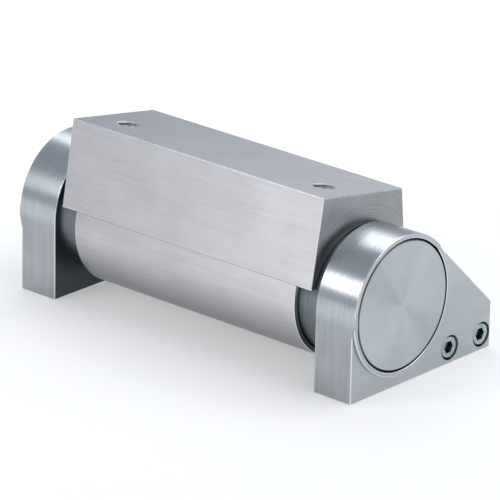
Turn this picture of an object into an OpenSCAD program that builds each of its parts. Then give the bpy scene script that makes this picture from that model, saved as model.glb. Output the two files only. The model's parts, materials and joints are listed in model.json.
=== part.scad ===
// Lift assist hinge. A solid wing swings on two hubs between a pair of side brackets, and two
// torsion springs sealed in its barrel carry most of the lid's weight.
// Millimetres, +Z up. The origin lies on the base plane, midway between the two base holes.
// +X runs along the hinge axis and +Y points to the rear, where the bracket feet are.
// The wing is drawn open, leaning back on its stops. Angles round the hinge axis count from
// the rear (0) over the top (90) to the front (180).

/* [Wing] */
// Radius of the round barrel
barrel_r = 31; // [30.5:0.5:34]
// Length of the barrel along the hinge axis
barrel_len = 126; // [118:1:132]
// Length of the wing above the barrel
wing_len = 142.5; // [136:0.5:150]
// Height of the wing's top face above the hinge axis
wing_top = 42.5; // [40:0.5:50]
// Distance of the wing's rear top edge behind the hinge axis
wing_rear = 20.5; // [14:0.5:26]
// Height of the end ledges above the hinge axis
ledge_up = 3; // [1:0.5:8]
// Lean of the open wing behind upright, in degrees
wing_lean = 9.5; // [0:0.5:14]
// Swing of the wing from open to closed, in degrees
wing_swing = 100; // [60:5:110]

/* [Brackets] */
// Radius of the brackets' round tops
bracket_r = 31; // [31:0.5:34]
// Thickness of a bracket plate
plate_t = 20; // [18:0.5:26]
// Height of the round boss on a bracket's outer face
boss_h = 1.2; // [0.8:0.1:3]
// Gap between the wing's end and a bracket
wing_gap = 3.5; // [2:0.5:6]
// Height of the hinge axis above the base plane
axis_h = 36; // [36:0.5:44]
// Distance from the hinge axis to the rear end of a foot
foot_rear = 60.5; // [60:0.5:72]
// Height of a foot's rear edge
foot_h = 21; // [16:0.5:24]

/* [Tie bar] */
// Distance from the hinge axis back to the tie bar's centre line
tie_back = 44; // [43.5:0.5:45]
// Width of the tie bar
tie_w = 30; // [28:0.5:32]
// Height of the tie bar
tie_h = 14.5; // [13.5:0.5:16]

/* [Mounting threads] */
// Distance between the base holes
base_pitch = 110; // [80:1:116]
// Distance between the holes in the wing's top
wing_pitch = 111; // [80:1:116]
// Distance of the wing's holes behind its front face
wing_hole_back = 18; // [12:0.5:22]
// Depth of the wing's holes
wing_hole_depth = 13; // [10:0.5:14]
// Wall radius of a tapped mounting hole
mount_tap_r = 4.25; // [3.4:0.05:4.25]
// Widening of a mounting hole at its mouth
mouth_chamfer = 1; // [0.4:0.1:1.4]

/* [Foot screws] */
// Distance between the two screws of a foot
foot_screw_pitch = 21; // [18:0.5:22]
// Height of the foot screws above the base plane
foot_screw_up = 7.2; // [6.5:0.1:7.8]
// Radius of the foot screws' thread
foot_screw_r = 3; // [2.5:0.5:3]
// Length of the foot screws under the head
foot_screw_len = 25; // [20:1:30]
// Radius of the foot screws' heads
foot_head_r = 5; // [4.25:0.05:5]
// Height of the foot screws' heads
foot_head_h = 6; // [5:0.5:6]
// Depth of a head below the plate's face
head_sink = 0.5; // [0.2:0.1:1.5]

/* [Hubs and bushes] */
// Radius of the hub collars between the barrel and the brackets
collar_r = 28.4; // [27.8:0.1:28.6]
// Radius of the hub journals in the bushes
journal_r = 23.5; // [23.4:0.1:23.8]
// Radius of the hub spigots in the brackets
spigot_r = 24; // [22:0.25:26]
// Length of the hub spigots
spigot_len = 10.5; // [10:0.25:11]
// Overlap of a hub collar and the barrel's end
collar_lap = 3; // [2:0.25:4]
// Radius of the barrel's bore
bore_r = 26.5; // [26.2:0.1:27]
// Length of a bush without its flange
bush_len = 14; // [12:0.5:16]
// Thickness of a bush flange
bush_flange_t = 1.5; // [1:0.1:2]
// Length of the journal that stands out of the bush
journal_tail = 1.2; // [0.5:0.1:3]

/* [End caps] */
// Radius of the cap discs
cap_r = 28.3; // [27:0.1:28.5]
// Thickness of the cap discs
cap_t = 3.9; // [3:0.1:4.5]
// Depth of a cap's face below the boss
cap_sink = 0.1; // [0.1:0.1:0.5]
// Width of the groove round a cap
cap_groove = 0.6; // [0.4:0.1:0.8]
// Length of a cap's plug
cap_plug_len = 5.5; // [5:0.1:5.6]
// Section diameter of the sealing rings
ring_d = 2; // [1.6:0.1:2.4]

/* [Springs] */
// Wire diameter of the torsion springs
wire_d = 5; // [4:0.25:5]
// Radius of the coils at the middle of the wire
coil_r = 19.8; // [19.4:0.1:19.9]
// Depth of the spring legs in their holes
leg_depth = 5; // [4:0.5:5.5]
// Thickness of the spring anchor
anchor_t = 14; // [13:0.5:18]
// Radius of the mandrel inside the springs
mandrel_r = 15.5; // [14:0.25:15.5]
// Radius of the mandrel's bore
mandrel_bore_r = 12; // [10:0.25:13]
// Depth of the mandrel in each hub
mandrel_seat = 8; // [5:0.5:9]

/* [Set screws] */
// Radius of the stop screws and of the anchor screws
set_screw_r = 3; // [2.5:0.5:3]
// Radius of the stop screws' dog points
dog_r = 2; // [1.5:0.1:2]
// Depth of the stop slots in the journals
slot_depth = 2.6; // [2:0.1:3]
// Radius of the hub locking screws
lock_screw_r = 4; // [3:0.5:4]
// Length of the hub locking screws
lock_screw_len = 10; // [6:0.5:11]

/* [Clearances] */
// Radial running clearance of the bushes and the anchor
run_clear = 0.05; // [0.02:0.01:0.08]
// Radial clearance of pieces that sit still in a bore
seat_clear = 0.02; // [0.01:0.01:0.04]
// Radial clearance of a screw in its tapped hole
thread_clear = 0.05; // [0.03:0.01:0.1]
// Radial clearance of a screw in a plain hole
bolt_clear = 0.3; // [0.2:0.05:0.5]
// Radial clearance of a hub collar in the barrel's end
collar_clear = 0.4; // [0.3:0.05:0.6]
// End play of the barrel between the hubs, on each side
end_play = 0.15; // [0.1:0.05:0.3]
// Gap of the springs at their ends and round their legs
spring_clear = 0.15; // [0.1:0.05:0.2]
// Gap between a stop screw and the end of its slot
stop_clear = 0.1; // [0.05:0.05:0.2]

/* [Hidden] */
$fn = 96;
over = 1;
edge = 0.5;
drill_slope = 31;
anchor_grip = 5;

// Places along the hinge axis, from the middle to the right
barrel_end = barrel_len / 2;
wing_end = wing_len / 2;
plate_in = wing_end + wing_gap;
plate_out = plate_in + plate_t;
boss_out = plate_out + boss_h;
collar_in = barrel_end - collar_lap;
counterbore_in = collar_in - end_play - bush_flange_t;
bush_in = counterbore_in - bush_len;
stop_at = counterbore_in - bush_len / 2;
journal_in = bush_in - journal_tail;
spigot_out = plate_in + spigot_len;
recess_in = boss_out - cap_sink - cap_t;
lock_at = plate_in + spigot_len / 2;
head_seat = plate_out - head_sink - foot_head_h;

// Rear face of the wing and rear slope of a bracket, both tangent to the round below them
rear_face_at = atan2(wing_top, wing_rear) - acos(barrel_r / norm([wing_rear, wing_top]));
slope_at = atan2(foot_h - axis_h, foot_rear)
    + acos(bracket_r / norm([foot_rear, foot_h - axis_h]));

// Radial sizes
counterbore_r = collar_r + collar_clear;
seat_bore_r = spigot_r + seat_clear;
head_bore_r = foot_head_r + edge;
slot_floor_r = journal_r - slot_depth;
dog_tip_r = slot_floor_r + 2 * stop_clear;
dog_neck_r = journal_r + 2 * run_clear + edge;
screw_face_r = barrel_r - edge;
anchor_hold_r = bore_r - anchor_grip;
leg_hole_r = wire_d / 2 + spring_clear;

// Key widths across flats: for the foot screws, and for the sockets that preload the hubs
foot_key = foot_screw_r * 5 / 3;
hub_key = spigot_r * 3 / 4;

// Stop slots: the stop screw's angle in the open wing, and the slot's slack at each end
stop_angle = rear_face_at - wing_lean;
stop_slack = asin((dog_r + stop_clear) / dog_tip_r);
anchor_angles = [rear_face_at, rear_face_at - 90];

// Coils: the right spring runs from the anchor to the right hub
leg_angle = 200;
coil_gap = 0.1;
coil_in = anchor_t / 2 + 2 * spring_clear + wire_d / 2;
coil_out = journal_in - 2 * spring_clear - wire_d / 2;
turns = floor((coil_out - coil_in) / (wire_d + coil_gap)) + 0.75;
spring_pitch = (coil_out - coil_in) / turns;
hub_leg_angle = leg_angle - 360 * turns;
leg_bend = wire_d / 2 + 2 * spring_clear;
turn_steps = 24;
bend_steps = 3;
wire_sides = 8;

module on_axis() translate([0, -tie_back, axis_h]) children();
module in_wing() on_axis() rotate([-wing_lean, 0, 0]) children();
module mirrored() mirror([1, 0, 0]) children();

// Turns a drawing in X and Y, raised along Z, to lie in Y and Z and run along X
module lengthwise() rotate([90, 0, 90]) children();

// Round bar along X from x_in to x_out
module rod(r, x_in, x_out) lengthwise() translate([0, 0, x_in]) cylinder(r = r, h = x_out - x_in);

// Body of revolution about X, from points of radius and place along X
module turned(points) lengthwise() rotate_extrude() polygon(points);

// Round bar that points away from the hinge axis at an angle, from r_in to r_out
module spoke(r, at, angle, r_in, r_out)
    translate([at, 0, 0]) rotate([angle, 0, 0]) rotate([-90, 0, 0])
        translate([0, 0, r_in]) cylinder(r = r, h = r_out - r_in);

// Six-sided socket that points away from the hinge axis
module spoke_socket(width, at, angle, r_in, r_out)
    translate([at, 0, 0]) rotate([angle, 0, 0]) rotate([-90, 0, 0])
        translate([0, 0, r_in]) cylinder(d = width / cos(30), h = r_out - r_in, $fn = 6);

// Both foot screw places of the right bracket
module at_foot_screws()
    for (side = [-1, 1])
        translate([0, tie_back + side * foot_screw_pitch / 2, foot_screw_up - axis_h]) children();

// Tapped blind hole with the point of its drill, which opens upwards at the given height
module blind_hole(r, depth, top)
    rotate_extrude() polygon([[0, top - depth - r * tan(drill_slope)], [r, top - depth],
                              [r, top - mouth_chamfer], [r + mouth_chamfer, top],
                              [r + mouth_chamfer, top + over], [0, top + over]]);

// Tapped hole through a plate that lies on the base plane, which opens downwards
module through_hole(r, thickness)
    rotate_extrude() polygon([[0, -over], [r + mouth_chamfer, -over], [r + mouth_chamfer, 0],
                              [r, mouth_chamfer], [r, thickness + over], [0, thickness + over]]);

// Front, base and foot of a bracket, below its round top
module bracket_outline()
    polygon([[-bracket_r, 0], [-bracket_r, -axis_h], [foot_rear, -axis_h], [foot_rear, foot_h - axis_h],
             bracket_r * [cos(slope_at), sin(slope_at)]]);

module bracket() color("silver") on_axis() difference() {
    union() {
        lengthwise() translate([0, 0, plate_in]) linear_extrude(plate_t) bracket_outline();
        rod(bracket_r, plate_in, boss_out);
    }
    rod(seat_bore_r, plate_in - over, boss_out + over);
    rod(cap_r + cap_groove, recess_in, boss_out + over);
    translate([lock_at, 0, -axis_h - over]) cylinder(r = lock_screw_r + thread_clear, h = axis_h);
    at_foot_screws() {
        rod(foot_screw_r + bolt_clear, plate_in - over, plate_out);
        rod(head_bore_r, head_seat, plate_out + over);
    }
}

module tie_bar() color("silver") difference() {
    translate([-plate_in, -tie_w / 2, 0]) cube([2 * plate_in, tie_w, tie_h]);
    for (side = [-1, 1])
        translate([side * base_pitch / 2, 0, 0]) through_hole(mount_tap_r, tie_h);
    for (side = [0, 1])
        mirror([side, 0, 0]) on_axis() at_foot_screws()
            rod(foot_screw_r + thread_clear, head_seat - foot_screw_len - 2 * over, plate_in + over);
}

module foot_screws() color("lightsteelblue") on_axis() at_foot_screws() difference() {
    union() {
        rod(foot_screw_r, head_seat - foot_screw_len, head_seat + over);
        turned([[0, head_seat], [foot_head_r, head_seat], [foot_head_r, head_seat + foot_head_h - edge],
                [foot_head_r - edge, head_seat + foot_head_h], [0, head_seat + foot_head_h]]);
    }
    lengthwise() translate([0, 0, head_seat + foot_head_h / 2])
        cylinder(d = foot_key / cos(30), h = foot_head_h, $fn = 6);
}

// Hub: a journal for the bush, a collar that closes the barrel's end and a spigot in the bracket
module hub() color("gainsboro") on_axis() difference() {
    turned([[0, journal_in], [journal_r - edge, journal_in], [journal_r, journal_in + edge],
            [journal_r, collar_in], [collar_r, collar_in], [collar_r, plate_in], [spigot_r, plate_in],
            [spigot_r, spigot_out - edge], [spigot_r - edge, spigot_out], [0, spigot_out]]);
    rod(mandrel_r + run_clear, journal_in - over, journal_in + mandrel_seat);
    stop_slot();
    rotate([hub_leg_angle - wing_lean, 0, 0]) translate([0, coil_r, 0])
        rod(leg_hole_r, journal_in - over, journal_in + leg_depth);
    spoke(lock_screw_r - edge, lock_at, -90, spigot_r - edge, spigot_r + over);
    // Socket that turns the hub to preload its spring
    lengthwise() translate([0, 0, spigot_out - spigot_len / 2])
        cylinder(d = hub_key / cos(30), h = spigot_len, $fn = 6);
}

module stop_slot()
    lengthwise() rotate([0, 0, stop_angle - stop_slack])
        rotate_extrude(angle = wing_swing + 2 * stop_slack)
            translate([slot_floor_r, stop_at - dog_r - 2 * stop_clear])
                square([slot_depth + over, 2 * dog_r + 4 * stop_clear]);

module hub_screw() color("dimgray") on_axis() difference() {
    union() {
        spoke(lock_screw_r, lock_at, -90, spigot_r + seat_clear, spigot_r + lock_screw_len);
        spoke(lock_screw_r - 2 * edge, lock_at, -90, spigot_r - edge, spigot_r + over);
    }
    spoke_socket(lock_screw_r, lock_at, -90, spigot_r + lock_screw_len / 2,
                 spigot_r + lock_screw_len + over);
}

// End cap: a disc that lies in the boss, with a plug and its ring groove behind it
module end_cap() color("gainsboro") on_axis() {
    plug_in = recess_in - cap_plug_len;
    face = boss_out - cap_sink;
    ring_at = recess_in - cap_plug_len / 2;
    groove_r = seat_bore_r - ring_d - seat_clear;
    difference() {
        turned([[0, plug_in], [spigot_r - edge, plug_in], [spigot_r - edge, recess_in],
                [cap_r, recess_in], [cap_r, face - edge], [cap_r - edge, face], [0, face]]);
        lengthwise() translate([0, 0, ring_at - ring_d / 2 - seat_clear]) difference() {
            cylinder(r = spigot_r + over, h = ring_d + 2 * seat_clear);
            translate([0, 0, -over]) cylinder(r = groove_r, h = ring_d + 2 * over);
        }
    }
}

module cap_ring() color("black") on_axis()
    lengthwise() translate([0, 0, recess_in - cap_plug_len / 2])
        rotate_extrude() translate([seat_bore_r - ring_d / 2 - seat_clear / 2, 0]) circle(d = ring_d, $fn = 24);

module spring_mandrel() color("darkgray") on_axis() difference() {
    mandrel_end = journal_in + mandrel_seat - end_play;
    rod(mandrel_r, -mandrel_end, mandrel_end);
    rod(mandrel_bore_r, -mandrel_end - over, mandrel_end + over);
}

// Section of the wing above its barrel: an upright front that ends in a fine step at the ledges'
// height, a flat top and a slanting rear
module wing_outline()
    polygon([[-barrel_r, ledge_up], [-barrel_r, wing_top], [wing_rear, wing_top],
             barrel_r * [cos(rear_face_at), sin(rear_face_at)]]);

module wing_block() color("lightgray") in_wing() difference() {
    union() {
        rod(barrel_r, -wing_end, wing_end);
        lengthwise() translate([0, 0, -wing_end]) linear_extrude(wing_len) wing_outline();
    }
    // Steps below the ledges, where the wing is longer than the barrel
    for (side = [0, 1])
        mirror([side, 0, 0])
            translate([barrel_end, -barrel_r - over, -barrel_r - over])
                cube([wing_end, 2 * (barrel_r + over), barrel_r + over + ledge_up]);
    rod(bore_r, -wing_end - over, wing_end + over);
    for (side = [0, 1])
        mirror([side, 0, 0]) {
            rod(counterbore_r, counterbore_in, wing_end + over);
            spoke(set_screw_r + thread_clear, stop_at, rear_face_at, 0, barrel_r + over);
            translate([wing_pitch / 2, wing_hole_back - barrel_r, 0])
                blind_hole(mount_tap_r, wing_hole_depth, wing_top);
        }
    for (angle = anchor_angles)
        spoke(set_screw_r + thread_clear, 0, angle, 0, barrel_r + over);
}

module bush() color("goldenrod") in_wing() difference() {
    turned([[journal_r + run_clear, bush_in], [bore_r - seat_clear, bush_in],
            [bore_r - seat_clear, counterbore_in], [counterbore_r - end_play, counterbore_in],
            [counterbore_r - end_play, counterbore_in + bush_flange_t],
            [journal_r + run_clear, counterbore_in + bush_flange_t]]);
    spoke(set_screw_r + thread_clear, stop_at, rear_face_at, 0, bore_r + over);
}

module stop_screw() color("dimgray") in_wing() difference() {
    union() {
        spoke(dog_r, stop_at, rear_face_at, dog_tip_r, dog_neck_r + over);
        spoke(set_screw_r, stop_at, rear_face_at, dog_neck_r, screw_face_r);
    }
    spoke_socket(set_screw_r, stop_at, rear_face_at, screw_face_r - set_screw_r, screw_face_r + over);
}

module spring_anchor() color("silver") in_wing() difference() {
    rod(bore_r - seat_clear, -anchor_t / 2, anchor_t / 2);
    rod(mandrel_r + run_clear, -anchor_t, anchor_t);
    for (side = [0, 1])
        mirror([side, 0, 0]) rotate([leg_angle, 0, 0]) translate([0, coil_r, 0])
            rod(leg_hole_r, anchor_t / 2 - leg_depth, anchor_t / 2 + over);
    for (angle = anchor_angles)
        spoke(set_screw_r + thread_clear, 0, angle, anchor_hold_r, bore_r + over);
}

module anchor_screws() color("dimgray") in_wing()
    for (angle = anchor_angles)
        difference() {
            spoke(set_screw_r, 0, angle, anchor_hold_r, screw_face_r);
            spoke_socket(set_screw_r, 0, angle, screw_face_r - set_screw_r, screw_face_r + over);
        }

// Wire path on the unrolled coil surface, as [distance round the coil, place along X]:
// the leg in the anchor, a bend, the coils, a bend and the leg in the hub
function coil_length() = 2 * PI * coil_r * turns;
function bend_in() = [for (i = [0:bend_steps]) let (a = 90 * i / bend_steps)
    [-leg_bend * (1 - cos(a)), coil_in - leg_bend * (1 - sin(a))]];
function coil_run() = let (steps = ceil(turns * turn_steps))
    [for (i = [1:steps - 1]) let (part = i / steps)
        [-leg_bend - (coil_length() - 2 * leg_bend) * part, coil_in + (coil_out - coil_in) * part]];
function bend_out() = [for (i = [0:bend_steps]) let (a = 90 * i / bend_steps)
    [-coil_length() + leg_bend * (1 - sin(a)), coil_out + leg_bend * (1 - cos(a))]];
function wire_path() = concat([[0, anchor_t / 2 - leg_depth + spring_clear]], bend_in(), coil_run(),
                              bend_out(), [[-coil_length(), journal_in + leg_depth - spring_clear]]);
function round_coil(point) = let (a = leg_angle + point[0] / coil_r * 180 / PI)
    [point[1], coil_r * cos(a), coil_r * sin(a)];

module spring_wire() {
    path = wire_path();
    last = len(path) - 1;
    points = [for (i = [0:last]) let (
            here = round_coil(path[i]),
            along = round_coil(path[min(i + 1, last)]) - round_coil(path[max(i - 1, 0)]),
            ahead = along / norm(along),
            out = [0, here[1], here[2]] / coil_r,
            side = cross(ahead, out))
        for (k = [0:wire_sides - 1]) let (a = 360 * k / wire_sides)
            here + wire_d / 2 * (cos(a) * out + sin(a) * side)];
    sides = [for (i = [0:last - 1]) for (k = [0:wire_sides - 1]) let (
            n = (k + 1) % wire_sides, low = i * wire_sides, high = low + wire_sides)
        each [[low + k, low + n, high + n], [low + k, high + n, high + k]]];
    ends = [[for (k = [wire_sides - 1:-1:0]) k], [for (k = [0:wire_sides - 1]) last * wire_sides + k]];
    polyhedron(points = points, faces = concat(sides, ends), convexity = 10);
}

module spring() color("slategray") in_wing() spring_wire();

mirrored() bracket();  // left_bracket
bracket();  // right_bracket
tie_bar();
mirrored() foot_screws();  // left_foot_screws
foot_screws();  // right_foot_screws
mirrored() hub();  // left_hub
hub();  // right_hub
mirrored() hub_screw();  // left_hub_screw
hub_screw();  // right_hub_screw
mirrored() end_cap();  // left_end_cap
end_cap();  // right_end_cap
mirrored() cap_ring();  // left_cap_ring
cap_ring();  // right_cap_ring
spring_mandrel();
wing_block();
mirrored() bush();  // left_bush
bush();  // right_bush
mirrored() stop_screw();  // left_stop_screw
stop_screw();  // right_stop_screw
spring_anchor();
anchor_screws();
mirrored() spring();  // left_spring
spring();  // right_spring
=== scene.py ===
"""Finishes of the lift assist hinge: ground and turned steel, fine edges, screws, threads and springs."""
import json
import math
from collections import namedtuple

import bmesh
import bpy
from bpy.props import FloatProperty, FloatVectorProperty, IntProperty, PointerProperty
from mathutils import Matrix, Vector

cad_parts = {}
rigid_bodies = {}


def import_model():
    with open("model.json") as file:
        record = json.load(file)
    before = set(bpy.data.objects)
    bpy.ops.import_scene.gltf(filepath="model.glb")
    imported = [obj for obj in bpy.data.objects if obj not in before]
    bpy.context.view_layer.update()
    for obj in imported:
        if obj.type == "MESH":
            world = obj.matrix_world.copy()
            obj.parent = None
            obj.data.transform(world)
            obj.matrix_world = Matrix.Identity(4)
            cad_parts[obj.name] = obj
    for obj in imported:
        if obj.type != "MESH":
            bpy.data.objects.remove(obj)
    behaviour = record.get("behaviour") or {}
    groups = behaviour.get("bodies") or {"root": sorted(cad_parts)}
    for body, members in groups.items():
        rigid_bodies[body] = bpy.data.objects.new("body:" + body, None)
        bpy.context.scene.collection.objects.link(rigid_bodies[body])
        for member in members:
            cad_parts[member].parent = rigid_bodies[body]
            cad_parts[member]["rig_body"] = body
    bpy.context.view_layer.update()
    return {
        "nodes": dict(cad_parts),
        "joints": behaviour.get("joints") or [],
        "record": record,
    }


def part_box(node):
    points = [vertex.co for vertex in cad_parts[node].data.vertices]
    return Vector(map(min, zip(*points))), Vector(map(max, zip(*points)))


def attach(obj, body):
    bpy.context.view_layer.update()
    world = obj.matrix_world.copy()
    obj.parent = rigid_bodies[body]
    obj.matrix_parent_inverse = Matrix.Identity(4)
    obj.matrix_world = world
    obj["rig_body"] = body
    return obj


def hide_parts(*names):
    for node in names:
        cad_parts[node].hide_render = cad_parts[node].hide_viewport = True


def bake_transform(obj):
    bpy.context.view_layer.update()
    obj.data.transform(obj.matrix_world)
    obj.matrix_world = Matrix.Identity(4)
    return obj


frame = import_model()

bl_info = {
    "name": "Lift Assist Hinge",
    "version": (1, 0, 0),
    "blender": (4, 5, 0),
    "location": "View3D > Sidebar > Hinge",
    "description": "Dresses the machined hinge in its steel finishes and sets it on a studio floor",
    "category": "Object",
}

# Places from the frame
HINGE = Vector(frame["joints"][0]["pos_m"])
MOUNTS = {mount["name"]: mount for mount in frame["record"]["mounts"]}
WING_UP = Vector(MOUNTS["wing_face"]["axis"])
WING_LEAN = math.atan2(WING_UP.y, WING_UP.z)
SCREW_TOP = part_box("right_foot_screws")[1].x
CAP_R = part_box("right_end_cap")[1].y - HINGE.y

MM_PER_M = 1000

# Points nearer than this count as one
MERGE = 1e-6

# Angles between faces or edges: no turn at all, a fine fork, a sharp edge, and where shading breaks
FLAT = math.radians(0.1)
FINE = math.radians(15)
SHARP = math.radians(30)
SMOOTH = math.radians(50)

# Side of the photo in pixels and width of the camera's sensor in millimetres
IMAGE_SIDE = 500
SENSOR = 36

# Grain of each finish: how fine it is along X, Y and Z, and how small its cloudy patches are
WING_GRAIN = ((75, 3400, 3400), 40.0)
BRACKET_EDGE_GRAIN = ((2100, 55, 55), 60.0)
BRACKET_FACE_GRAIN = ((400, 60, 1700), 35.0)
BAR_GRAIN = ((40, 1800, 1800), 40.0)
HUB_GRAIN = ((1400, 25, 25), 60.0)
SMALL_GRAIN = ((900, 900, 900), 300.0)

# Turning marks of each finish: how fine the rings are, and how small the cloudy patches are
WING_END_RINGS = (1500.0, 70.0)
TURNED_RINGS = (2800.0, 50.0)

# Detail and roughness of the noise in fine lines and rings, in broad bands and in cloudy patches
FINE_NOISE = (3.0, 0.6)
BROAD_NOISE = (2.0, 0.5)
PATCH_NOISE = (3.0, 0.5)

# Grain and rings: fineness of the broad bands against the fine lines, the shares of bands and of
# patches, the range that is stretched to full contrast, and the relief
BROAD_BANDS = (0.35, 0.22, 0.22)
BROAD_SHARE = 0.35
PATCH_SHARE = 0.35
GRAIN_CONTRAST = (0.36, 0.64)
RING_CONTRAST = (0.34, 0.66)
RELIEF_STRENGTH = 0.25
RELIEF_DEPTH = 0.00002

# Painted shade, a dark colour laid over the steel: its colour, and how much of it is laid on each place
PAINTED_SHADE_COLOUR = (0.085, 0.10, 0.11, 1)
WING_TOP_PAINTED_SHADE = 0.36
WING_BELOW_PAINTED_SHADE = 0.6
WING_END_PAINTED_SHADE = (0.45, 0.27)
FLAT_EDGE_PAINTED_SHADE = 0.2
HUB_PAINTED_SHADE = 0.75
CAP_PAINTED_SHADE = 0.85
SCREW_PAINTED_SHADE = 0.8

# Cosines of the turn away from a direction at which a face starts to count and at which it counts fully
END_FACING = (0.8, 0.9)
INNER_FACING = (-0.8, -0.9)
WING_TOP_FACING = (0.9, 0.95)
WING_BELOW_FACING = (-0.2, -0.8)
HUB_BELOW_FACING = (0.15, -0.75)

# Lightest shade of the turning marks on the wing's ends, range of shades on the brackets' side faces, and
# roughness that the brackets gain below the hinge axis
CALM_MARKS = 0.5
FACE_SHADES = (0.1, 0.5)
FLAT_DULLNESS = 0.1

# Where painted shade fades in: beyond a hole's wall, past the rim of the end cap, below the top of a screw's
# head, and round the height of the hinge axis, where the bracket's edge turns flat and gains roughness as
# well as painted shade
WALL_FADE = (0.00012, 0.00004)
RIM_FADE = 0.0001
HEAD_FADE = (0.0003, 0.001)
FLAT_PART = (0.001, -0.003)

# Points on a knurl's ridge; points on a turn of thread, sides of its ridge and the share of the ridge that
# sits in the wall; points on a turn of the springs and on a bend of their legs, and sides of their wire
KNURL_STEPS = 4
THREAD_STEPS = 40
THREAD_SIDES = 6
THREAD_SEAT = 0.3
COIL_STEPS = 48
BEND_STEPS = 8
WIRE_SIDES = 16

# The floor's half width, and the share of its white that only the camera and reflections see
FLOOR_REACH = 6.0
FLOOR_GLOW = 0.38

# What a pattern gives to its steel: lightness, relief, added roughness and the share of painted shade
Pattern = namedtuple("Pattern", "shade height dullness skin", defaults=(0.0, 0.0))


class HingeSizes(bpy.types.PropertyGroup):
    edge_width: FloatProperty(
        name="Broken edge", description="Width of the broken edges of the wing and brackets",
        default=0.0004, unit="LENGTH", precision=5)
    small_edge: FloatProperty(
        name="Small broken edge", description="Width of the broken edges of the screws and turned pieces",
        default=0.00015, unit="LENGTH", precision=5)
    shortest_edge: FloatProperty(
        name="Shortest broken edge", description="Shorter edges, such as those round small holes, stay crisp",
        default=0.0011, unit="LENGTH", precision=5)
    fork_reach: FloatProperty(
        name="Fork reach", description="Broken edges end this far before they run into an inward corner",
        default=0.006, unit="LENGTH")
    head_radius: FloatProperty(
        name="Screw head radius", description="Radius of the cap screws' heads", default=0.005, unit="LENGTH")
    head_height: FloatProperty(
        name="Screw head height", description="Height of the cap screws' heads", default=0.006, unit="LENGTH")
    socket_width: FloatProperty(
        name="Socket width", description="Width of the cap screws' sockets across flats",
        default=0.005, unit="LENGTH")
    socket_depth: FloatProperty(
        name="Socket depth", description="Depth of the cap screws' sockets", default=0.003, unit="LENGTH")
    counterbore_radius: FloatProperty(
        name="Counterbore radius", description="Radius of the holes round the cap screws' heads",
        default=0.0055, unit="LENGTH")
    cap_groove: FloatProperty(
        name="Cap groove", description="Width of the groove round an end cap", default=0.0006,
        unit="LENGTH", precision=5)
    cap_chamfer: FloatProperty(
        name="Cap chamfer", description="Width of the chamfer round an end cap", default=0.0005,
        unit="LENGTH", precision=5)
    shank_radius: FloatProperty(
        name="Shank radius", description="Radius of the cap screws' shanks", default=0.003, unit="LENGTH")
    knurl_count: IntProperty(
        name="Knurl count", description="Ridges round a cap screw's head", default=36)
    thread_pitch: FloatProperty(
        name="Thread pitch", description="Pitch of the tapped mounting holes", default=0.0015, unit="LENGTH")
    thread_depth: FloatProperty(
        name="Thread depth", description="Height of a thread ridge inside a tapped hole",
        default=0.00045, unit="LENGTH", precision=5)
    spring_wire: FloatProperty(
        name="Spring wire", description="Diameter of the springs' wire", default=0.005, unit="LENGTH")
    spring_radius: FloatProperty(
        name="Spring radius", description="Radius of the coils at the middle of the wire",
        default=0.0198, unit="LENGTH")
    spring_turns: FloatProperty(
        name="Spring turns", description="Turns of a spring between its legs", default=5.75)
    spring_leg: FloatProperty(
        name="Spring leg", description="Length of a spring's leg in its hole", default=0.00515,
        unit="LENGTH", precision=5)
    spring_bend: FloatProperty(
        name="Spring bend", description="Radius of the bends between coils and legs", default=0.0028,
        unit="LENGTH")
    spring_angle: FloatProperty(
        name="Spring leg angle", description="Angle of the inner legs round the axis, from the wing's rear",
        default=math.radians(200), subtype="ANGLE")


class HingeFinish(bpy.types.PropertyGroup):
    wing_light: FloatVectorProperty(
        name="Wing light", description="Lighter tone of the ground wing", subtype="COLOR", size=4,
        default=(0.715, 0.705, 0.725, 1))
    wing_dark: FloatVectorProperty(
        name="Wing dark", description="Darker tone of the ground wing", subtype="COLOR", size=4,
        default=(0.60, 0.595, 0.615, 1))
    bracket_light: FloatVectorProperty(
        name="Bracket light", description="Lighter tone of the ground brackets", subtype="COLOR", size=4,
        default=(0.555, 0.585, 0.605, 1))
    bracket_dark: FloatVectorProperty(
        name="Bracket dark", description="Darker tone of the ground brackets", subtype="COLOR", size=4,
        default=(0.435, 0.465, 0.485, 1))
    turned_light: FloatVectorProperty(
        name="Turned light", description="Lighter tone of the turned pieces", subtype="COLOR", size=4,
        default=(0.555, 0.595, 0.62, 1))
    turned_dark: FloatVectorProperty(
        name="Turned dark", description="Darker tone of the turned pieces", subtype="COLOR", size=4,
        default=(0.48, 0.515, 0.54, 1))
    screw_light: FloatVectorProperty(
        name="Screw light", description="Lighter tone of the cap screws", subtype="COLOR", size=4,
        default=(0.46, 0.55, 0.58, 1))
    screw_dark: FloatVectorProperty(
        name="Screw dark", description="Darker tone of the cap screws", subtype="COLOR", size=4,
        default=(0.28, 0.34, 0.36, 1))
    floor: FloatVectorProperty(
        name="Floor", description="Colour of the studio floor", subtype="COLOR", size=4,
        default=(0.62, 0.618, 0.616, 1))
    surround: FloatVectorProperty(
        name="Surround", description="Colour of the studio around the floor", subtype="COLOR", size=4,
        default=(0.42, 0.455, 0.505, 1))


class HingeView(bpy.types.PropertyGroup):
    azimuth: FloatProperty(
        name="Azimuth", description="Direction of the camera round the hinge",
        default=math.radians(41.26), subtype="ANGLE")
    elevation: FloatProperty(
        name="Elevation", description="Height of the camera above the floor as an angle",
        default=math.radians(20.83), subtype="ANGLE")
    roll: FloatProperty(
        name="Roll", description="Turn of the camera about its own line of sight",
        default=math.radians(1.19), subtype="ANGLE")
    distance: FloatProperty(
        name="Distance", description="Distance of the camera from the hinge axis",
        default=1.933, unit="LENGTH")
    focal_pixels: FloatProperty(
        name="Focal length in pixels", description="Focal length of the camera in pixels of the square image",
        default=4517)
    aim_right: FloatProperty(
        name="Aim right", description="Shift of the camera to the right, across its line of sight",
        default=0.0081, unit="LENGTH")
    aim_up: FloatProperty(
        name="Aim up", description="Shift of the camera upwards, across its line of sight",
        default=-0.00092, unit="LENGTH")


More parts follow.
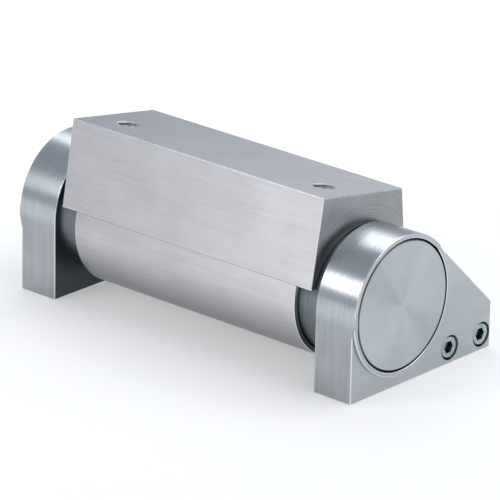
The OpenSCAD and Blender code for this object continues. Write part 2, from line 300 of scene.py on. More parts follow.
def sizes():
    return bpy.context.scene.hinge_sizes


def finish():
    return bpy.context.scene.hinge_finish


def foot_screw_spots():
    """Middle of each screw head on the right foot, level with the heads' tops."""
    low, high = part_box("right_foot_screws")
    radius = sizes().head_radius
    height = (low.z + high.z) / 2
    return [Vector((high.x, y, height)) for y in (low.y + radius, high.y - radius)]


# Node helpers

def add_node(tree, kind, inputs=None, **settings):
    """Adds a node, applies its settings, and fills or links its inputs."""
    node = tree.nodes.new(kind)
    for key, value in settings.items():
        setattr(node, key, value)
    for key, value in (inputs or {}).items():
        if isinstance(value, bpy.types.NodeSocket):
            tree.links.new(value, node.inputs[key])
        else:
            node.inputs[key].default_value = value
    return node


def new_group(name, kind, inputs, outputs):
    """Builds an empty node group, and returns it with the values it is given and those it results in."""
    tree = bpy.data.node_groups.new(name, kind)
    for label, socket_kind, default in inputs:
        socket = tree.interface.new_socket(label, in_out="INPUT", socket_type="NodeSocket" + socket_kind)
        if default is not None:
            socket.default_value = default
    for label, socket_kind in outputs:
        tree.interface.new_socket(label, in_out="OUTPUT", socket_type="NodeSocket" + socket_kind)
    return tree, tree.nodes.new("NodeGroupInput").outputs, tree.nodes.new("NodeGroupOutput").inputs


def math_node(tree, operation, *values):
    return add_node(tree, "ShaderNodeMath", dict(enumerate(values)), operation=operation).outputs[0]


def vector_node(tree, operation, *vectors):
    """Result of a vector operation, which is a single value for a length or a dot product."""
    node = add_node(tree, "ShaderNodeVectorMath", dict(enumerate(vectors)), operation=operation)
    return node.outputs["Value" if operation in ("LENGTH", "DOT_PRODUCT") else "Vector"]


def parts_of(tree, vector):
    """The vector's three parts, called X, Y and Z."""
    return add_node(tree, "ShaderNodeSeparateXYZ", {0: vector}).outputs


def highest(tree, first, *others):
    for other in others:
        first = math_node(tree, "MAXIMUM", first, other)
    return first


def remap(tree, value, low, high, to_low=0.0, to_high=1.0):
    inputs = {"Value": value, "From Min": low, "From Max": high, "To Min": to_low, "To Max": to_high}
    return add_node(tree, "ShaderNodeMapRange", inputs).outputs["Result"]


def blend_values(tree, factor, a, b):
    return add_node(tree, "ShaderNodeMix", {0: factor, 2: a, 3: b}, data_type="FLOAT").outputs[0]


def blend_colours(tree, factor, a, b):
    return add_node(tree, "ShaderNodeMix", {0: factor, 6: a, 7: b}, data_type="RGBA").outputs[2]


def noise(tree, vector, look, scale=1.0):
    inputs = {"Vector": vector, "Scale": scale, "Detail": look[0], "Roughness": look[1]}
    return add_node(tree, "ShaderNodeTexNoise", inputs).outputs[0]


def group_node(tree, group, inputs):
    return add_node(tree, "ShaderNodeGroup", inputs, node_tree=group).outputs


def object_place(tree, turn=0.0):
    """Object coordinates seen from the hinge axis, turned about X so that a leaning piece reads upright."""
    place = tree.nodes.new("ShaderNodeTexCoord").outputs["Object"]
    return add_node(tree, "ShaderNodeVectorRotate",
                    {"Vector": vector_node(tree, "SUBTRACT", place, HINGE), "Angle": turn},
                    rotation_type="X_AXIS").outputs[0]


def object_normal(tree):
    """Direction in which the surface faces."""
    return tree.nodes.new("ShaderNodeTexCoord").outputs["Normal"]


def distance_from_line(tree, at, centre=(0, 0, 0)):
    """Distance of the surface from the line along X that runs through a centre."""
    across = vector_node(tree, "MULTIPLY", vector_node(tree, "SUBTRACT", at, centre), (0, 1, 1))
    return vector_node(tree, "LENGTH", across)


def hole_mask(tree, at, wall, centre=(0, 0, 0)):
    """1 in a round hole along X, up to its wall."""
    return remap(tree, distance_from_line(tree, at, centre), wall + WALL_FADE[0], wall + WALL_FADE[1])


def end_face_mask(tree, normal):
    """1 on faces that look along the hinge axis, 0 on the others."""
    return remap(tree, math_node(tree, "ABSOLUTE", parts_of(tree, normal)["X"]), *END_FACING)


def inner_face_mask(tree, at, normal):
    """1 on faces that look towards the middle of the hinge, 0 on the others."""
    side = math_node(tree, "SIGN", parts_of(tree, at)["X"])
    return remap(tree, math_node(tree, "MULTIPLY", parts_of(tree, normal)["X"], side), *INNER_FACING)


def round_the_axis(tree):
    """Direction of the turning marks: at right angles to the hinge axis and to the way out from it."""
    parts = parts_of(tree, object_place(tree))
    back = math_node(tree, "MULTIPLY", parts["Z"], -1.0)
    return add_node(tree, "ShaderNodeCombineXYZ", {"Y": back, "Z": parts["Y"]}).outputs[0]


# Shared surface effects

def build_grain_group():
    """Straight grinding lines: long along one axis and fine across it, with broad uneven bands."""
    tree, given, result = new_group(
        "Ground grain", "ShaderNodeTree",
        [("Vector", "Vector", None), ("Stretch", "Vector", (60, 2500, 2500)), ("Patch Size", "Float", 45.0)],
        [("Shade", "Float"), ("Height", "Float")])
    place = given["Vector"]
    fine_at = vector_node(tree, "MULTIPLY", place, given["Stretch"])
    fine = noise(tree, fine_at, FINE_NOISE)
    broad = noise(tree, vector_node(tree, "MULTIPLY", fine_at, BROAD_BANDS), BROAD_NOISE)
    patch = noise(tree, place, PATCH_NOISE, given["Patch Size"])
    lines = blend_values(tree, BROAD_SHARE, fine, broad)
    mixed = blend_values(tree, PATCH_SHARE, lines, patch)
    tree.links.new(remap(tree, mixed, *GRAIN_CONTRAST), result["Shade"])
    tree.links.new(lines, result["Height"])
    return tree


def build_rings_group():
    """Turning marks: fine rings round the X axis of the vector."""
    tree, given, result = new_group(
        "Turned rings", "ShaderNodeTree",
        [("Vector", "Vector", None), ("Fineness", "Float", 2600.0), ("Patch Size", "Float", 60.0)],
        [("Shade", "Float"), ("Height", "Float")])
    place = given["Vector"]
    outwards = math_node(tree, "MULTIPLY", distance_from_line(tree, place), given["Fineness"])
    look = {"W": outwards, "Scale": 1.0, "Detail": FINE_NOISE[0], "Roughness": FINE_NOISE[1]}
    rings = add_node(tree, "ShaderNodeTexNoise", look, noise_dimensions="1D").outputs[0]
    patch = noise(tree, place, PATCH_NOISE, given["Patch Size"])
    mixed = blend_values(tree, PATCH_SHARE, rings, patch)
    tree.links.new(remap(tree, mixed, *RING_CONTRAST), result["Shade"])
    tree.links.new(rings, result["Height"])
    return tree


def new_material(name):
    """A new material with its node tree and its main shader."""
    material = bpy.data.materials.new(name)
    material.use_nodes = True
    return material, material.node_tree, material.node_tree.nodes["Principled BSDF"]


def steel(name, light, dark, pattern, roughness, anisotropic=0.0, rotation=0.25, radial=False):
    """A metal whose tone, roughness and fine relief follow a pattern that the caller builds."""
    material, tree, shader = new_material(name)
    marks = pattern(tree)
    ground = blend_colours(tree, marks.shade, dark, light)
    # Painted shade: the pattern's share of a dark colour laid over the ground tone
    tree.links.new(blend_colours(tree, marks.skin, ground, PAINTED_SHADE_COLOUR), shader.inputs["Base Color"])
    even = remap(tree, marks.shade, 0, 1, roughness[1], roughness[0])
    tree.links.new(math_node(tree, "ADD", even, marks.dullness), shader.inputs["Roughness"])
    relief = add_node(tree, "ShaderNodeBump", {"Height": marks.height, "Strength": RELIEF_STRENGTH,
                                               "Distance": RELIEF_DEPTH})
    tree.links.new(relief.outputs["Normal"], shader.inputs["Normal"])
    shader.inputs["Metallic"].default_value = 1.0
    shader.inputs["Anisotropic"].default_value = anisotropic
    shader.inputs["Anisotropic Rotation"].default_value = rotation
    if radial:
        direction = round_the_axis(tree)
    else:
        direction = add_node(tree, "ShaderNodeCombineXYZ", {"X": 1.0}).outputs[0]
    tree.links.new(direction, shader.inputs["Tangent"])
    return material


class Finishes:
    """The hinge's materials, made once and shared by its pieces."""

    def __init__(self):
        self.grain = build_grain_group()
        self.rings = build_rings_group()
        look = finish()
        self.wing = steel("Wing steel", look.wing_light, look.wing_dark, self.wing_pattern,
                          roughness=(0.38, 0.47), anisotropic=0.9)
        self.bracket = steel("Bracket steel", look.bracket_light, look.bracket_dark, self.bracket_pattern,
                             roughness=(0.24, 0.34), anisotropic=0.6, rotation=0.0)
        self.bar = steel("Bar steel", look.bracket_light, look.bracket_dark, self.bar_pattern,
                         roughness=(0.38, 0.5), anisotropic=0.6)
        self.turned = steel("Turned steel", look.turned_light, look.turned_dark, self.cap_pattern,
                            roughness=(0.34, 0.42), anisotropic=0.9, radial=True)
        # The hubs' steel is a much darker copy of the turned steel: painted shade for the hubs deep in the
        # notches
        self.shaded_journal = steel("Journal steel", (0.25, 0.285, 0.30, 1), (0.13, 0.15, 0.16, 1),
                             self.journal_pattern, roughness=(0.28, 0.4), anisotropic=0.6, radial=True)
        # The broken edges' steel is much lighter than the faces': painted highlight on top of the light the
        # bevels catch
        self.edge = steel("Broken edge steel", (0.82, 0.83, 0.85, 1), (0.66, 0.67, 0.69, 1),
                          self.turned_pattern, roughness=(0.2, 0.3))
        self.screw = steel("Screw steel", look.screw_light, look.screw_dark, self.screw_pattern,
                           roughness=(0.2, 0.32))
        self.black_screw = steel("Black screw steel", (0.05, 0.05, 0.055, 1), (0.02, 0.02, 0.022, 1),
                                 self.small_pattern, roughness=(0.35, 0.5))
        self.spring = steel("Spring wire steel", (0.34, 0.34, 0.36, 1), (0.2, 0.2, 0.21, 1),
                            self.small_pattern, roughness=(0.3, 0.45))
        self.bronze = steel("Bush bronze", (0.62, 0.43, 0.2, 1), (0.45, 0.29, 0.12, 1),
                            self.small_pattern, roughness=(0.4, 0.55))
        # The threads' steel is much lighter than the wing's: painted glints inside the tapped holes
        self.thread = steel("Cut thread steel", (0.76, 0.73, 0.72, 1), (0.42, 0.40, 0.39, 1),
                            self.small_pattern, roughness=(0.25, 0.4))
        self.rubber = self.seal_rubber()

    def ground_lines(self, tree, at, stretch, patch_size):
        """Grinding lines that run along the axes with a low stretch."""
        lines = group_node(tree, self.grain, {"Vector": at, "Stretch": stretch, "Patch Size": patch_size})
        return Pattern(lines["Shade"], lines["Height"])

    def turning_marks(self, tree, at, fineness, patch_size):
        """Fine rings round the hinge axis."""
        marks = group_node(tree, self.rings, {"Vector": at, "Fineness": fineness, "Patch Size": patch_size})
        return Pattern(marks["Shade"], marks["Height"])

    def wing_pattern(self, tree):
        """Lines along the hinge axis and turning marks on the ends, with painted shade on top, below and on
        the ends.
        """
        at = object_place(tree, -WING_LEAN)
        normal = object_normal(tree)
        lines = self.ground_lines(tree, at, *WING_GRAIN)
        marks = self.turning_marks(tree, at, *WING_END_RINGS)
        mask = end_face_mask(tree, normal)
        shade = blend_values(tree, mask, lines.shade, remap(tree, marks.shade, 0, 1, 0.0, CALM_MARKS))
        height = blend_values(tree, mask, lines.height, marks.height)
        # Painted shade on the top face, on the underside and on the ends beside the brackets
        facing = vector_node(tree, "DOT_PRODUCT", normal, WING_UP)
        top = remap(tree, facing, *WING_TOP_FACING, 0.0, WING_TOP_PAINTED_SHADE)
        below = remap(tree, facing, *WING_BELOW_FACING, 0.0, WING_BELOW_PAINTED_SHADE)
        ends = math_node(tree, "MULTIPLY", mask, remap(tree, marks.shade, 0, 1, *WING_END_PAINTED_SHADE))
        return Pattern(shade, height, skin=highest(tree, top, below, ends))

    def bracket_pattern(self, tree):
        """Lines that run round the bracket's edge, and finer ones along its flat faces."""
        at = object_place(tree)
        normal = object_normal(tree)
        edge = self.ground_lines(tree, at, *BRACKET_EDGE_GRAIN)
        face = self.ground_lines(tree, at, *BRACKET_FACE_GRAIN)
        mask = end_face_mask(tree, normal)
        shade = blend_values(tree, mask, edge.shade, remap(tree, face.shade, 0, 1, *FACE_SHADES))
        height = blend_values(tree, mask, edge.height, face.height)
        # Painted shade on the edge below the hinge axis, on the inner faces, in the cap's groove and in the
        # counterbores
        flat_part = remap(tree, parts_of(tree, at)["Z"], *FLAT_PART)
        dullness = math_node(tree, "MULTIPLY", flat_part, FLAT_DULLNESS)
        flat_edge_shade = math_node(tree, "MULTIPLY", flat_part, remap(tree, mask, 0, 1, FLAT_EDGE_PAINTED_SHADE, 0.0))
        groove_shade = hole_mask(tree, at, CAP_R + sizes().cap_groove)
        counterbore_shades = [hole_mask(tree, at, sizes().counterbore_radius, spot - HINGE)
                        for spot in foot_screw_spots()]
        skin = highest(tree, inner_face_mask(tree, at, normal), groove_shade, flat_edge_shade, *counterbore_shades)
        return Pattern(shade, height, dullness, skin)

    def bar_pattern(self, tree):
        """Lines along the tie bar."""
        return self.ground_lines(tree, object_place(tree), *BAR_GRAIN)

    def journal_pattern(self, tree):
        """Fine lines that run round a hub, with painted shade towards its underside."""
        lines = self.ground_lines(tree, object_place(tree), *HUB_GRAIN)
        upwards = parts_of(tree, object_normal(tree))["Z"]
        return lines._replace(skin=remap(tree, upwards, *HUB_BELOW_FACING, 0.0, HUB_PAINTED_SHADE))

    def turned_pattern(self, tree):
        """Turning marks alone."""
        return self.turning_marks(tree, object_place(tree), *TURNED_RINGS)

    def small_pattern(self, tree):
        """Even, fine specks for small pieces."""
        return self.ground_lines(tree, object_place(tree), *SMALL_GRAIN)

    def cap_pattern(self, tree):
        """The turning marks, with painted shade on the end cap's chamfer and on its wall in the groove."""
        rim = CAP_R - sizes().cap_chamfer
        radius = distance_from_line(tree, object_place(tree))
        wall = remap(tree, radius, rim, rim + RIM_FADE, 0.0, CAP_PAINTED_SHADE)
        return self.turned_pattern(tree)._replace(skin=wall)

    def screw_pattern(self, tree):
        """The small pattern, with painted shade below the head's top: in the socket and on the knurl."""
        out = math_node(tree, "ABSOLUTE", parts_of(tree, object_place(tree))["X"])
        skin = remap(tree, out, SCREW_TOP - HEAD_FADE[0], SCREW_TOP - HEAD_FADE[1], 0.0, SCREW_PAINTED_SHADE)
        return self.small_pattern(tree)._replace(skin=skin)

    def seal_rubber(self):
        material, tree, shader = new_material("Seal rubber")
        shade = self.small_pattern(tree).shade
        tone = blend_colours(tree, shade, (0.012, 0.012, 0.012, 1), (0.03, 0.03, 0.03, 1))
        tree.links.new(tone, shader.inputs["Base Color"])
        tree.links.new(remap(tree, shade, 0, 1, 0.6, 0.75), shader.inputs["Roughness"])
        return material


FINISHES = {}


def finishes():
    """The hinge's finishes, which are built at the first call."""
    if "all" not in FINISHES:
        FINISHES["all"] = Finishes()
    return FINISHES["all"]


# Mesh helpers

def link_new(name, mesh):
    piece = bpy.data.objects.new(name, mesh)
    bpy.context.scene.collection.objects.link(piece)
    return piece


def bake_modifiers(piece):
    """Turns the evaluated piece into its plain mesh and removes its modifiers."""
    bpy.context.view_layer.update()
    graph = bpy.context.evaluated_depsgraph_get()
    mesh = bpy.data.meshes.new_from_object(piece.evaluated_get(graph), preserve_all_data_layers=True,
                                           depsgraph=graph)
    mesh.name = piece.name
    piece.modifiers.clear()
    piece.data = mesh


def set_materials(mesh, materials):
    """Gives a mesh its materials, with the first one on every face."""
    mesh.materials.clear()
    for material in materials:
        mesh.materials.append(material)
    for face in mesh.polygons:
        face.material_index = 0


def is_broken(edge):
    """True for an outward sharp edge that is long enough to be broken."""
    if len(edge.link_faces) != 2 or not edge.is_convex:
        return False
    return edge.calc_face_angle() > SHARP and edge.calc_length() > sizes().shortest_edge


def forks(shape):
    """Places where an outward edge runs into an inward one at a fine angle, with the outward direction."""
    found = []
    for vert in shape.verts:
        sharp = [edge for edge in vert.link_edges if edge.calc_face_angle(0) > SHARP]
        for edge in sharp:
            along = edge.other_vert(vert).co - vert.co
            for other in sharp:
                if edge.is_convex and not other.is_convex:
                    if along.angle(other.other_vert(vert).co - vert.co) < FINE:
                        found.append((vert.co.copy(), along.normalized()))
    return found


def stop_short_of(shape, place, along, reach):
    """Cuts the faces beside an edge, so that its broken part ends a little before the fork."""
    faces = set()
    for vert in shape.verts:
        if (vert.co - place).length < MERGE:
            for edge in vert.link_edges:
                if (edge.other_vert(vert).co - place).angle(along) < FLAT:
                    faces.update(edge.link_faces)
    parts = set(faces)
    for face in faces:
        parts.update(face.edges)
        parts.update(face.verts)
    bmesh.ops.bisect_plane(shape, geom=list(parts), dist=MERGE, plane_co=place + along * reach,
                           plane_no=along)


def weighted_copy(source, name):
    """Merged copy of a mesh, in which the edges that are to be broken have their full bevel weight."""
    shape = bmesh.new()
    shape.from_mesh(source)
    bmesh.ops.remove_doubles(shape, verts=shape.verts, dist=MERGE)
    bmesh.ops.dissolve_limit(shape, angle_limit=FLAT, verts=shape.verts, edges=shape.edges)
    ends = forks(shape)
    reach = sizes().fork_reach
    for place, along in ends:
        stop_short_of(shape, place, along, reach)
    weight = shape.edges.layers.float.new("bevel_weight_edge")
    for edge in shape.edges:
        middle = (edge.verts[0].co + edge.verts[1].co) / 2
        clear = all((middle - place).length > reach / 2 + MERGE for place, along in ends)
        if clear and is_broken(edge):
            edge[weight] = 1.0
    mesh = bpy.data.meshes.new(name)
    shape.to_mesh(mesh)
    shape.free()
    return mesh


def finished_copy(node, name, materials, width):
    """Copies a node's mesh, breaks its long sharp edges and replaces the node."""
    source = frame["nodes"][node]
    mesh = weighted_copy(source.data, name)
    mesh.shade_smooth()
    set_materials(mesh, materials)
    piece = link_new(name, mesh)
    edges = piece.modifiers.new("Broken edges", "BEVEL")
    edges.limit_method = "WEIGHT"
    edges.width = width
    edges.segments = 2
    edges.use_clamp_overlap = False
    edges.material = len(materials) - 1
    bake_modifiers(piece)
    piece.data.set_sharp_from_angle(angle=SMOOTH)
    normals = piece.modifiers.new("Flat faces", "WEIGHTED_NORMAL")
    normals.keep_sharp = True
    bake_modifiers(piece)
    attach(piece, source["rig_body"])
    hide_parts(node)
    return piece


def dress(node, material):
    """Gives a node that keeps its own mesh a better material."""
    mesh = frame["nodes"][node].data
    mesh.materials.clear()
    mesh.materials.append(material)


def ring_stack(rings, steps):
    """Closed mesh through rings of points round Z, each given as (radius by angle, height)."""
    shape = bmesh.new()
    loops = []
    for radius_at, height in rings:
        loop = []
        for step in range(steps):
            angle = math.tau * step / steps
            radius = radius_at(angle)
            loop.append(shape.verts.new((radius * math.cos(angle), radius * math.sin(angle), height)))
        loops.append(loop)
    for low, high in zip(loops, loops[1:]):
        for step in range(steps):
            after = (step + 1) % steps
            shape.faces.new((low[step], low[after], high[after], high[step]))
    shape.faces.new(list(reversed(loops[0])))
    shape.faces.new(loops[-1])
    bmesh.ops.recalc_face_normals(shape, faces=shape.faces)
    mesh = bpy.data.meshes.new("ring stack")
    shape.to_mesh(mesh)
    shape.free()
    return mesh


def even(radius):
    """Radius by angle of a circle."""
    return lambda angle: radius


def hexagon(width):
    """Radius by angle of a hexagon that measures width across flats."""
    sector = math.pi / 3
    return lambda angle: width / 2 / math.cos((angle + sector / 2) % sector - sector / 2)


def knurled(radius, depth, count):
    """Radius by angle of a circle with a count of soft ridges."""
    return lambda angle: radius - depth * (0.5 + 0.5 * math.cos(count * angle))


# Geometry Nodes

def geometry_group(name, inputs):
    """A new Geometry Nodes group, which is given a geometry, its own inputs and a material."""
    return new_group(name, "GeometryNodeTree",
                     [("Geometry", "Geometry", None)] + inputs + [("Material", "Material", None)],
                     [("Geometry", "Geometry")])


def facing_turn(tree):
    """Turn that takes Z to each point's own direction."""
    facing = add_node(tree, "GeometryNodeInputNamedAttribute", {"Name": "facing"}, data_type="FLOAT_VECTOR")
    turn = add_node(tree, "FunctionNodeAlignEulerToVector", {"Vector": facing.outputs[0]}, axis="Z")
    return turn.outputs[0]


def swept(tree, curve, sides, radius):
    """Solid with a section of so many sides, swept along a curve."""
    section = add_node(tree, "GeometryNodeCurvePrimitiveCircle", {"Resolution": sides, "Radius": radius})
    return add_node(tree, "GeometryNodeCurveToMesh",
                    {"Curve": curve, "Profile Curve": section.outputs[0], "Fill Caps": True}).outputs[0]


def end_group(tree, given, result, geometry):
    """Ends a group: copies are made real, and all of it gets its material."""
    real = add_node(tree, "GeometryNodeRealizeInstances", {"Geometry": geometry})
    coloured = add_node(tree, "GeometryNodeSetMaterial",
                        {"Geometry": real.outputs[0], "Material": given["Material"]})
    tree.links.new(coloured.outputs[0], result["Geometry"])
    return tree


def build_scatter_group():
    """Places a template on each point, turned to the point's own direction, as one plain mesh."""
    tree, given, result = geometry_group("Repeat on points", [("Template", "Object", None)])
    template = add_node(tree, "GeometryNodeObjectInfo", {"Object": given["Template"]})
    placed = add_node(tree, "GeometryNodeInstanceOnPoints",
                      {"Points": given["Geometry"], "Instance": template.outputs["Geometry"],
                       "Rotation": facing_turn(tree)})
    return end_group(tree, given, result, placed.outputs[0])


def build_thread_group():
    """Winds a six-sided ridge inside each tapped hole, from its mouth down to its depth."""
    tree, given, result = geometry_group(
        "Tapped thread",
        [("Wall Radius", "Float", 0.00425), ("Ridge", "Float", 0.00045), ("Pitch", "Float", 0.0015),
         ("Depth", "Float", 0.012), ("Steps", "Int", THREAD_STEPS)])
    turns = math_node(tree, "DIVIDE", given["Depth"], given["Pitch"])
    spiral = add_node(tree, "GeometryNodeCurveSpiral",
                      {"Resolution": given["Steps"], "Rotations": turns,
                       "Start Radius": given["Wall Radius"],
                       "End Radius": given["Wall Radius"], "Height": given["Depth"]})
    ridge = swept(tree, spiral.outputs[0], THREAD_SIDES, given["Ridge"])
    placed = add_node(tree, "GeometryNodeInstanceOnPoints",
                      {"Points": given["Geometry"], "Instance": ridge,
                       "Rotation": facing_turn(tree)})
    return end_group(tree, given, result, placed.outputs[0])


def build_wire_group():
    """Sweeps a round wire along the edges it is given."""
    tree, given, result = geometry_group(
        "Wire sweep", [("Wire Radius", "Float", 0.0025), ("Sides", "Int", WIRE_SIDES)])
    path = add_node(tree, "GeometryNodeMeshToCurve", {"Mesh": given["Geometry"]})
    wire = swept(tree, path.outputs[0], given["Sides"], given["Wire Radius"])
    return end_group(tree, given, result, wire)


def points_mesh(name, places):
    """Mesh of loose points, each with the direction that its copy faces."""
    mesh = bpy.data.meshes.new(name)
    mesh.from_pydata([place for place, direction in places], [], [])
    facing = mesh.attributes.new("facing", "FLOAT_VECTOR", "POINT")
    for index, (place, direction) in enumerate(places):
        facing.data[index].vector = direction
    return mesh


def run_group(name, group, mesh, inputs):
    """Runs a Geometry Nodes group on a mesh and keeps its result as a plain mesh."""
    piece = link_new(name, mesh)
    modifier = piece.modifiers.new(group.name, "NODES")
    modifier.node_group = group
    for socket in group.interface.items_tree:
        if socket.in_out == "INPUT" and socket.name in inputs:
            modifier[socket.identifier] = inputs[socket.name]
    bake_modifiers(piece)
    set_materials(piece.data, [inputs["Material"]])
    return piece


# Operators

class HINGE_OT_wing(bpy.types.Operator):
    """Finishes the wing: ground along the axis, turned ends and broken edges"""
    bl_idname = "hinge.wing"
    bl_label = "Wing"

    def execute(self, context):
        look = finishes()
        piece = finished_copy("wing_block", "wing", [look.wing, look.edge], sizes().edge_width)
        return {"FINISHED"}


class HINGE_OT_brackets(bpy.types.Operator):
    """Finishes both brackets and the tie bar between their feet"""
    bl_idname = "hinge.brackets"
    bl_label = "Brackets and tie bar"

    def execute(self, context):
        look = finishes()
        for side in ("left", "right"):
            node = side + "_bracket"
            piece = finished_copy(node, side + "_side_bracket", [look.bracket, look.edge],
                                  sizes().edge_width)
        piece = finished_copy("tie_bar", "foot_tie_bar", [look.bar, look.edge], sizes().edge_width)
        return {"FINISHED"}


class HINGE_OT_hubs(bpy.types.Operator):
    """Finishes the hubs in a darker steel that carries painted shade, and the end caps as fine turned steel
    """
    bl_idname = "hinge.hubs"
    bl_label = "Hubs and end caps"

    def execute(self, context):
        look = finishes()
        for side in ("left", "right"):
            for node, name, skins in (
                    (side + "_hub", side + "_turned_hub", [look.shaded_journal, look.edge]),
                    (side + "_end_cap", side + "_turned_cap", [look.turned, look.turned])):
                piece = finished_copy(node, name, skins, sizes().small_edge)
        return {"FINISHED"}


class HINGE_OT_foot_screws(bpy.types.Operator):
    """Puts a knurled cap screw with a six-sided socket in each counterbore of the feet"""
    bl_idname = "hinge.foot_screws"
    bl_label = "Foot screws"

    def execute(self, context):
        low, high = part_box("right_foot_screws")
        template = link_new("cap screw template", self.cap_screw(high.x - low.x))
        places = [((side * spot.x, spot.y, spot.z), (side, 0, 0))
                  for side in (-1, 1) for spot in foot_screw_spots()]
        piece = run_group("foot_cap_screws", build_scatter_group(), points_mesh("screw places", places),
                          {"Template": template, "Material": finishes().screw})
        bpy.data.objects.remove(template)
        piece.data.shade_smooth()
        piece.data.set_sharp_from_angle(angle=SHARP)
        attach(piece, "base")
        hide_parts("left_foot_screws", "right_foot_screws")
        return {"FINISHED"}

    def cap_screw(self, length):
        """One screw along Z with the top of its head at zero."""
        size = sizes()
        steps = size.knurl_count * KNURL_STEPS
        rim = size.small_edge * 3
        corner = size.socket_width / 2 / math.cos(math.pi / 6)
        rough = knurled(size.head_radius, size.small_edge, size.knurl_count)
        rings = [
            (even(size.shank_radius - rim), -length),
            (even(size.shank_radius), rim - length),
            (even(size.shank_radius), -size.head_height),
            (even(size.head_radius - rim), -size.head_height),
            (rough, rim - size.head_height),
            (rough, -rim),
            (even(size.head_radius - rim), 0),
            (even(corner + rim / 2), 0),
            (hexagon(size.socket_width), -rim / 2),
            (hexagon(size.socket_width), -size.socket_depth),
            (even(size.small_edge), -size.socket_depth - size.socket_width / 4),
        ]
        return ring_stack(rings, steps)


class HINGE_OT_threads(bpy.types.Operator):
    """Cuts threads in the wing's two holes and in the two base holes"""
    bl_idname = "hinge.threads"
    bl_label = "Tapped threads"

    def execute(self, context):
        size = sizes()
        group = build_thread_group()
        holes = [MOUNTS["wing_hole_left"], MOUNTS["wing_hole_right"]]
        wall = holes[0]["dims"]["r_mm"] / MM_PER_M
        length = holes[0]["dims"]["length_mm"] / MM_PER_M
        common = {"Wall Radius": wall + size.thread_depth * THREAD_SEAT, "Ridge": size.thread_depth,
                  "Pitch": size.thread_pitch, "Material": finishes().thread}
        places = []
        for hole in holes:
            up = Vector(hole["axis"])
            mouth = Vector(hole["pos_m"]) + up * (length / 2)
            places.append((mouth - up * (length - size.thread_pitch), up))
        piece = run_group("wing_hole_threads", group, points_mesh("wing holes", places),
                          dict(common, Depth=length - size.thread_pitch))
        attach(piece, "wing")
        half = MOUNTS["base_holes"]["dims"]["spacing_x_mm"] / MM_PER_M / 2
        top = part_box("tie_bar")[1].z
        places = [((side * half, 0, size.thread_pitch), (0, 0, 1)) for side in (-1, 1)]
        piece = run_group("base_hole_threads", group, points_mesh("base holes", places),
                          dict(common, Depth=top - 2 * size.thread_pitch))
        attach(piece, "base")
        return {"FINISHED"}


class HINGE_OT_springs(bpy.types.Operator):
    """Winds both torsion springs between the hubs and the anchor; they keep their wound shape as the wing
    swings
    """
    bl_idname = "hinge.springs"
    bl_label = "Torsion springs"

    def execute(self, context):
        size = sizes()
        group = build_wire_group()
        low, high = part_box("right_spring")
        leg = size.spring_leg + size.spring_wire / 2
        coil_in, coil_out = low.x + leg, high.x - leg
        for side, name in ((-1, "left"), (1, "right")):
            path = [self.round_coil(point, side) for point in self.unrolled(low.x, coil_in, coil_out, high.x)]
            mesh = bpy.data.meshes.new(name + " spring path")
            mesh.from_pydata(path, [(step, step + 1) for step in range(len(path) - 1)], [])
            piece = run_group(name + "_torsion_spring", group, mesh,
                              {"Wire Radius": size.spring_wire / 2, "Material": finishes().spring})
            piece.data.shade_smooth()
            piece.data.set_sharp_from_angle(angle=SMOOTH)
            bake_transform(piece)
            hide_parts(name + "_spring")
        return {"FINISHED"}

    def unrolled(self, leg_in, coil_in, coil_out, leg_out):
        """The wire's path, as pairs of distance round the coil and place along X."""
        size = sizes()
        bend = size.spring_bend
        length = math.tau * size.spring_radius * size.spring_turns
        quarter = [math.radians(90 * step / BEND_STEPS) for step in range(BEND_STEPS + 1)]
        steps = math.ceil(size.spring_turns * COIL_STEPS)
        path = [(0, leg_in)]
        path += [(-bend * (1 - math.cos(a)), coil_in - bend * (1 - math.sin(a))) for a in quarter]
        for step in range(1, steps):
            part = step / steps
            path.append((-bend - (length - 2 * bend) * part, coil_in + (coil_out - coil_in) * part))
        path += [(bend * (1 - math.sin(a)) - length, coil_out + bend * (1 - math.cos(a))) for a in quarter]
        return path + [(-length, leg_out)]

    def round_coil(self, point, side):
        """Wraps a point of the unrolled path round the hinge axis."""
        size = sizes()
        angle = size.spring_angle - WING_LEAN + point[0] / size.spring_radius
        return HINGE + Vector((side * point[1], size.spring_radius * math.cos(angle),
                               size.spring_radius * math.sin(angle)))


class HINGE_OT_inner_pieces(bpy.types.Operator):
    """Gives the pieces inside the barrel and the set screws their own finishes"""
    bl_idname = "hinge.inner_pieces"
    bl_label = "Inner pieces"

    def execute(self, context):
        look = finishes()
        for node in ("left_bush", "right_bush"):
            dress(node, look.bronze)
        for node in ("left_cap_ring", "right_cap_ring"):
            dress(node, look.rubber)
        for node in ("spring_mandrel", "spring_anchor"):
            dress(node, look.turned)
        for node in ("left_hub_screw", "right_hub_screw", "left_stop_screw", "right_stop_screw",
                     "anchor_screws"):
            dress(node, look.black_screw)
        return {"FINISHED"}


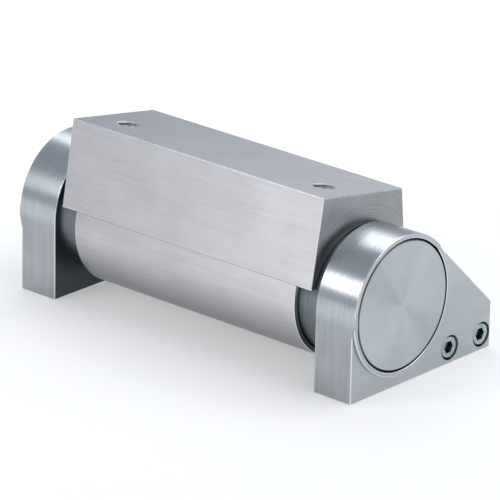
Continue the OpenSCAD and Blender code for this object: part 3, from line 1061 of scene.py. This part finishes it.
class HINGE_OT_stage(bpy.types.Operator):
    """Sets the floor, the soft lights and the camera"""
    bl_idname = "hinge.stage"
    bl_label = "Studio stage"

    def execute(self, context):
        self.floor()
        self.surround(context.scene)
        self.lights()
        self.camera(context.scene)
        return {"FINISHED"}

    def floor(self):
        corners = [(x * FLOOR_REACH, y * FLOOR_REACH, 0) for x, y in ((-1, -1), (1, -1), (1, 1), (-1, 1))]
        mesh = bpy.data.meshes.new("studio_floor")
        mesh.from_pydata(corners, [], [(0, 1, 2, 3)])
        material, tree, shader = new_material("Floor paper")
        shader.inputs["Base Color"].default_value = finish().floor
        shader.inputs["Roughness"].default_value = 0.9
        shader.inputs["Specular IOR Level"].default_value = 0.1
        shader.inputs["Emission Color"].default_value = (1, 1, 1, 1)
        rays = tree.nodes.new("ShaderNodeLightPath")
        seen = math_node(tree, "ADD", rays.outputs["Is Camera Ray"], rays.outputs["Is Glossy Ray"])
        tree.links.new(math_node(tree, "MULTIPLY", seen, FLOOR_GLOW), shader.inputs["Emission Strength"])
        mesh.materials.append(material)
        link_new("studio_floor", mesh)

    def surround(self, scene):
        world = bpy.data.worlds.new("Studio surround")
        world.use_nodes = True
        background = world.node_tree.nodes["Background"]
        background.inputs["Color"].default_value = finish().surround
        background.inputs["Strength"].default_value = 1.0
        scene.world = world
        scene.view_settings.view_transform = "Standard"

    def lights(self):
        """Each light has a place seen from the hinge, a width and height, a radiance and a colour."""
        self.soft_light("Front soft light", (-0.313, -0.675, 0.365), (0.36, 0.30), 3.9, (1.0, 0.965, 0.95))
        self.soft_light("Rear soft light", (-0.437, 0.450, 0.830), (0.70, 0.52), 2.35, (0.94, 0.975, 1.0))
        self.soft_light("Key soft light", (0.65, 0.50, 1.35), (1.6, 1.6), 1.65, (1.0, 1.0, 1.0))

    def soft_light(self, name, place, shape, radiance, colour):
        data = bpy.data.lights.new(name, "AREA")
        data.shape = "RECTANGLE"
        data.size, data.size_y = shape
        data.energy = radiance * math.pi * shape[0] * shape[1]
        data.color = colour
        lamp = link_new(name, data)
        turn = Vector(place).to_track_quat("Z", "Y").to_matrix().to_4x4()
        lamp.matrix_world = Matrix.Translation(HINGE + Vector(place)) @ turn

    def camera(self, scene):
        view = scene.hinge_view
        flat = math.cos(view.elevation)
        back = Vector((math.sin(view.azimuth) * flat, -math.cos(view.azimuth) * flat,
                       math.sin(view.elevation)))
        level = Vector((math.cos(view.azimuth), math.sin(view.azimuth), 0))
        upright = back.cross(level)
        right = level * math.cos(view.roll) + upright * math.sin(view.roll)
        up = upright * math.cos(view.roll) - level * math.sin(view.roll)
        data = bpy.data.cameras.new("Photo camera")
        data.sensor_width = SENSOR
        data.lens = view.focal_pixels / IMAGE_SIDE * data.sensor_width
        lens = link_new("Photo camera", data)
        place = HINGE + back * view.distance + right * view.aim_right + up * view.aim_up
        turn = Matrix((right, up, back)).transposed().to_4x4()
        lens.matrix_world = Matrix.Translation(place) @ turn
        scene.camera = lens


class HINGE_PT_panel(bpy.types.Panel):
    """Lists the hinge's pieces in the sidebar"""
    bl_idname = "HINGE_PT_panel"
    bl_label = "Lift Assist Hinge"
    bl_space_type = "VIEW_3D"
    bl_region_type = "UI"
    bl_category = "Hinge"

    def draw(self, context):
        for operator in OPERATORS:
            self.layout.operator(operator.bl_idname)
        for group in (context.scene.hinge_sizes, context.scene.hinge_finish, context.scene.hinge_view):
            box = self.layout.box()
            for name in group.bl_rna.properties.keys():
                if name not in ("rna_type", "name"):
                    box.prop(group, name)


OPERATORS = (HINGE_OT_wing, HINGE_OT_brackets, HINGE_OT_hubs, HINGE_OT_foot_screws, HINGE_OT_threads,
             HINGE_OT_springs, HINGE_OT_inner_pieces, HINGE_OT_stage)
CLASSES = (HingeSizes, HingeFinish, HingeView) + OPERATORS + (HINGE_PT_panel,)


def register():
    for item in CLASSES:
        bpy.utils.register_class(item)
    bpy.types.Scene.hinge_sizes = PointerProperty(type=HingeSizes)
    bpy.types.Scene.hinge_finish = PointerProperty(type=HingeFinish)
    bpy.types.Scene.hinge_view = PointerProperty(type=HingeView)


def unregister():
    del bpy.types.Scene.hinge_view
    del bpy.types.Scene.hinge_finish
    del bpy.types.Scene.hinge_sizes
    for item in reversed(CLASSES):
        bpy.utils.unregister_class(item)


def main():
    register()
    bpy.ops.hinge.wing()
    bpy.ops.hinge.brackets()
    bpy.ops.hinge.hubs()
    bpy.ops.hinge.foot_screws()
    bpy.ops.hinge.threads()
    bpy.ops.hinge.springs()
    bpy.ops.hinge.inner_pieces()
    bpy.ops.hinge.stage()
    bpy.context.view_layer.update()


if __name__ == "__main__":
    main()
